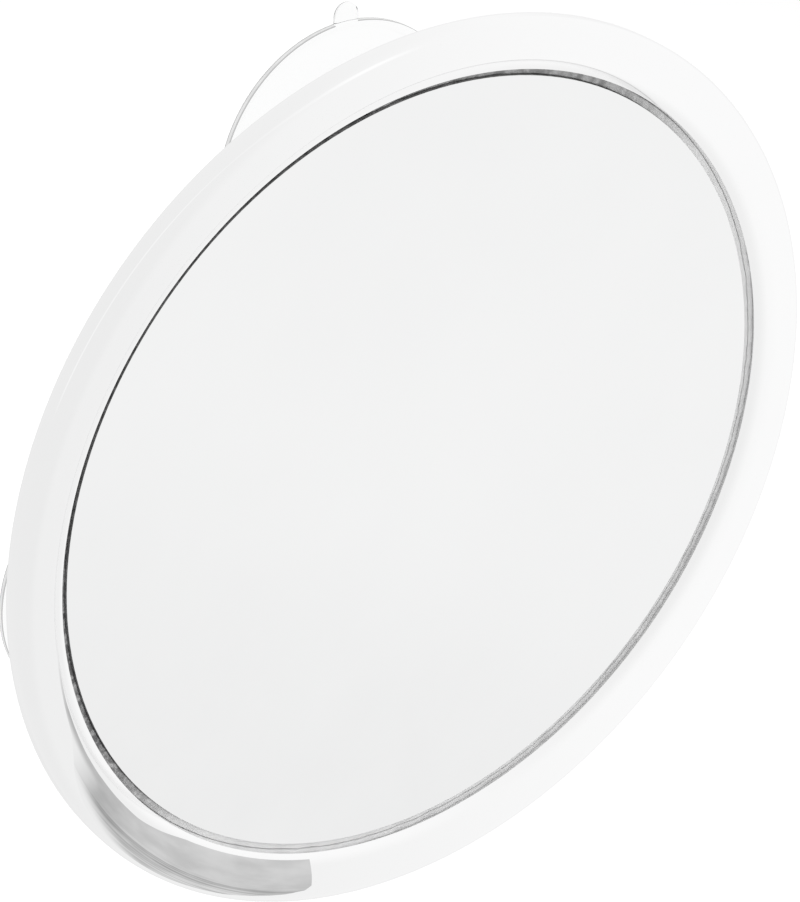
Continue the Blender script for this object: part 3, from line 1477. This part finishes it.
def add_camera():
    """Builds the camera's own axes, right, up and back, and sets it along the last of them."""
    back = Vector((
        math.sin(CAMERA_TURN) * math.cos(CAMERA_RISE),
        -math.cos(CAMERA_TURN) * math.cos(CAMERA_RISE),
        math.sin(CAMERA_RISE),
    ))
    level_right = Vector((0, 0, 1)).cross(back).normalized()
    level_up = back.cross(level_right)
    right = level_right * math.cos(CAMERA_ROLL) + level_up * math.sin(CAMERA_ROLL)
    up = back.cross(right)
    aim = Vector((0, -GLASS_EDGE, 0)) - right * CAMERA_OFFSET[0] - up * CAMERA_OFFSET[1]
    camera = bpy.data.objects.new("camera", bpy.data.cameras.new("camera"))
    camera.data.lens = CAMERA_LENS
    turn = Matrix((right, up, back)).transposed().to_4x4()
    camera.matrix_world = Matrix.Translation(aim + back * CAMERA_DISTANCE) @ turn
    bpy.context.scene.collection.objects.link(camera)
    bpy.context.scene.camera = camera
    print("camera at", [round(value, 3) for value in camera.matrix_world.translation])


add_camera()
bpy.context.scene.view_settings.view_transform = "Standard"

# %% [markdown]
# A grey card close to the lower left of the ring makes the dark patch in the plating there. Where it has to
# hang follows from the law of reflection: the camera's line of sight to a point of the patch is mirrored at
# the surface, and the card's point lies a short way along the mirrored line. Doing that for a grid of points
# over the patch gives the whole card, bent as it must be. Only reflections show it.
#
# The card's sheet coordinates say where on the patch a point is: the first runs round the ring from the
# narrow to the wide end, the second over the ring's section, from 0 at the lip to 0.5 at the crest. The
# grey is painted by them, with soft clouds, a darker band beside the crest and fine lines from there
# outwards, and it fades to the white of the world at the narrow end and along the outer border.

# %% Finish of the grey card
CLOUD_SCALES = (7.0, 4.0, 1.0)
LINE_SCALES = (3.0, 50.0, 1.0)
HALVES_MEET = (0.56, 0.44)  # along the sheet
NARROW_GREY, WIDE_GREY = 0.56, 0.66
CLOUD_DEPTH, LINE_DEPTH, BAND_DEPTH = 0.06, 0.09, 0.12  # how much each changes the grey
CLOUD_RANGE, LINE_RANGE = (0.32, 0.68), (0.4, 0.6)  # of the noise, which seldom goes further
LINES_START = (0.4, 0.5)  # over the section
BAND_MIDDLE = 0.53
BAND_FADE = (0.02, 0.08)  # distances from its middle
BAND_STARTS = (0.3, 0.45)  # along the sheet
END_ALONG, END_OVER = (0.4, 0.26), (0.25, 0.35)  # how the narrow end fades
OUTWARDS = (-1.15, 1.0, 0.0)  # across the sheet, towards its outer border
BORDER_FADE = (0.02, 0.19)  # distances in that direction


def card_grey():
    """Adds up the grey, the clouds, the band and the lines, and fades them."""
    material, tree, shader = finish("grey_card", Roughness=0.9)
    sheet = node(tree, "ShaderNodeTexCoord").outputs["UV"]
    parts = node(tree, "ShaderNodeSeparateXYZ", {"Vector": sheet})
    along, over = parts.outputs["X"], parts.outputs["Y"]
    wide = stretched(tree, sheet, CLOUD_SCALES)
    clouds = node(tree, "ShaderNodeTexNoise", {"Vector": wide, "Scale": 1.0, "Detail": 3.0}).outputs["Fac"]
    drawn = stretched(tree, sheet, LINE_SCALES)
    lines = node(tree, "ShaderNodeTexNoise", {"Vector": drawn, "Scale": 1.0, "Detail": 2.0}).outputs["Fac"]
    halves = eased(tree, along, *HALVES_MEET, WIDE_GREY, NARROW_GREY)
    grey = calculated(tree, "ADD", halves, eased(tree, clouds, *CLOUD_RANGE, -CLOUD_DEPTH, CLOUD_DEPTH))
    darker = eased(tree, distance(tree, over, BAND_MIDDLE), *BAND_FADE, -BAND_DEPTH, 0.0)
    band = product(tree, darker, eased(tree, along, *BAND_STARTS))
    streaks = eased(tree, lines, *LINE_RANGE, -LINE_DEPTH, LINE_DEPTH)
    fine = product(tree, streaks, eased(tree, over, *LINES_START))
    narrow_end = product(tree, eased(tree, along, *END_ALONG), eased(tree, over, *END_OVER))
    outer_border = eased(tree, dot(tree, sheet, OUTWARDS), *BORDER_FADE)
    fade = calculated(tree, "MAXIMUM", narrow_end, outer_border)
    marked = calculated(tree, "ADD", calculated(tree, "ADD", grey, band), fine)
    level = levels(tree, fade, marked, LEFT_LEVEL)
    glow = node(tree, "ShaderNodeEmission", {"Color": PURE_WHITE, "Strength": level})
    link(tree, glow.outputs["Emission"], tree.nodes["Material Output"].inputs["Surface"])
    return material


CARD_GREY = card_grey()

# %% [markdown]
# The border of the patch is a table. Each row has an angle on the ring in degrees, then where on the ring's
# section the patch starts and ends: 0 is the lip, 1 the crest and 2 the outermost line of the ring.

# %% Border of the grey card
CARD_EDGES = (
    (-177, 0.40, 0.42),
    (-170, 0.47, 0.54),
    (-165, 0.48, 0.58),
    (-160, 0.46, 0.66),
    (-155, 0.45, 1.10),
    (-150, 0.42, 1.33),
    (-145, 0.40, 1.45),
    (-140, 0.38, 1.50),
    (-135, 0.28, 1.50),
    (-130, 0.16, 1.48),
    (-125, 0.14, 1.40),
    (-120, 0.13, 1.33),
    (-115, 0.13, 1.20),
    (-110, 0.13, 1.08),
    (-107, 0.13, 0.96),
    (-106, 0.13, 0.80),
)


def card_edge(angle):
    """Where the patch starts and ends on the ring's section at an angle."""
    for before, after in zip(CARD_EDGES, CARD_EDGES[1:]):
        if angle <= after[0]:
            break
    share = (angle - before[0]) / (after[0] - before[0])
    return [low + (high - low) * share for low, high in zip(before[1:], after[1:])]


print("the patch covers", CARD_EDGES[-1][0] - CARD_EDGES[0][0], "degrees of the ring")

# %% [markdown]
# For each point of the patch the place on the ring and the direction square to its surface are needed. Then
# the vector from the camera to that place is reflected, and followed for the card's small distance. It is
# so near to the ring that the pane doesn't show it as well.

# %% Grey card in the reflection
CARD_REACH = 0.0015
CARD_COLUMNS = 72
CARD_ROWS = 24


def on_section(share):
    """A point of the ring's section, and the direction square to the surface there."""
    if share > 1:
        angle = math.radians(90 * (2 - share))
        square = Vector((math.cos(angle), math.sin(angle)))
        return Vector((CREST_RADIUS, RING_FRONT - OUTER_ROUND)) + square * OUTER_ROUND, square
    face = ring_face()
    step = min(int(share * FACE_STEPS), FACE_STEPS - 1)
    along = face[step + 1] - face[step]
    spot = face[step] + along * (share * FACE_STEPS - step)
    return spot, Vector((-along.y, along.x)).normalized()


def card_point(angle, share, eye):
    """The point of the card that the eye sees mirrored at one place of the ring."""
    spot, square = on_section(share)
    across_ring, up_ring = math.cos(math.radians(angle)), math.sin(math.radians(angle))
    place = Vector((spot.x * across_ring, -spot.y, spot.x * up_ring))
    normal = Vector((square.x * across_ring, -square.y, square.x * up_ring))
    sight = (place - eye).normalized()
    return place + sight.reflect(normal) * CARD_REACH


def make_card():
    """A sheet of columns round the ring and rows over its section."""
    eye = bpy.context.scene.camera.matrix_world.translation
    shape = bmesh.new()
    sheet = shape.loops.layers.uv.new("sheet")
    corners = []
    for column in range(CARD_COLUMNS + 1):
        part = column / CARD_COLUMNS
        angle = CARD_EDGES[0][0] + (CARD_EDGES[-1][0] - CARD_EDGES[0][0]) * part
        start, end = card_edge(angle)
        shares = [start + (end - start) * row / CARD_ROWS for row in range(CARD_ROWS + 1)]
        points = [shape.verts.new(card_point(angle, share, eye)) for share in shares]
        corners.append([(point, (part, share / 2)) for point, share in zip(points, shares)])
    for left, right in zip(corners, corners[1:]):
        for row in range(CARD_ROWS):
            ring = (left[row], left[row + 1], right[row + 1], right[row])
            face = shape.faces.new([vert for vert, spot in ring])
            for loop, (vert, spot) in zip(face.loops, ring):
                loop[sheet].uv = spot
    mesh = bpy.data.meshes.new("grey_card")
    shape.to_mesh(mesh)
    shape.free()
    mesh.materials.append(CARD_GREY)
    card = bpy.data.objects.new("grey_card", mesh)
    card.visible_camera = False
    card.visible_diffuse = False
    card.visible_transmission = False
    card.visible_shadow = False
    bpy.context.scene.collection.objects.link(card)
    print(card.name, "has", len(mesh.polygons), "faces")


make_card()
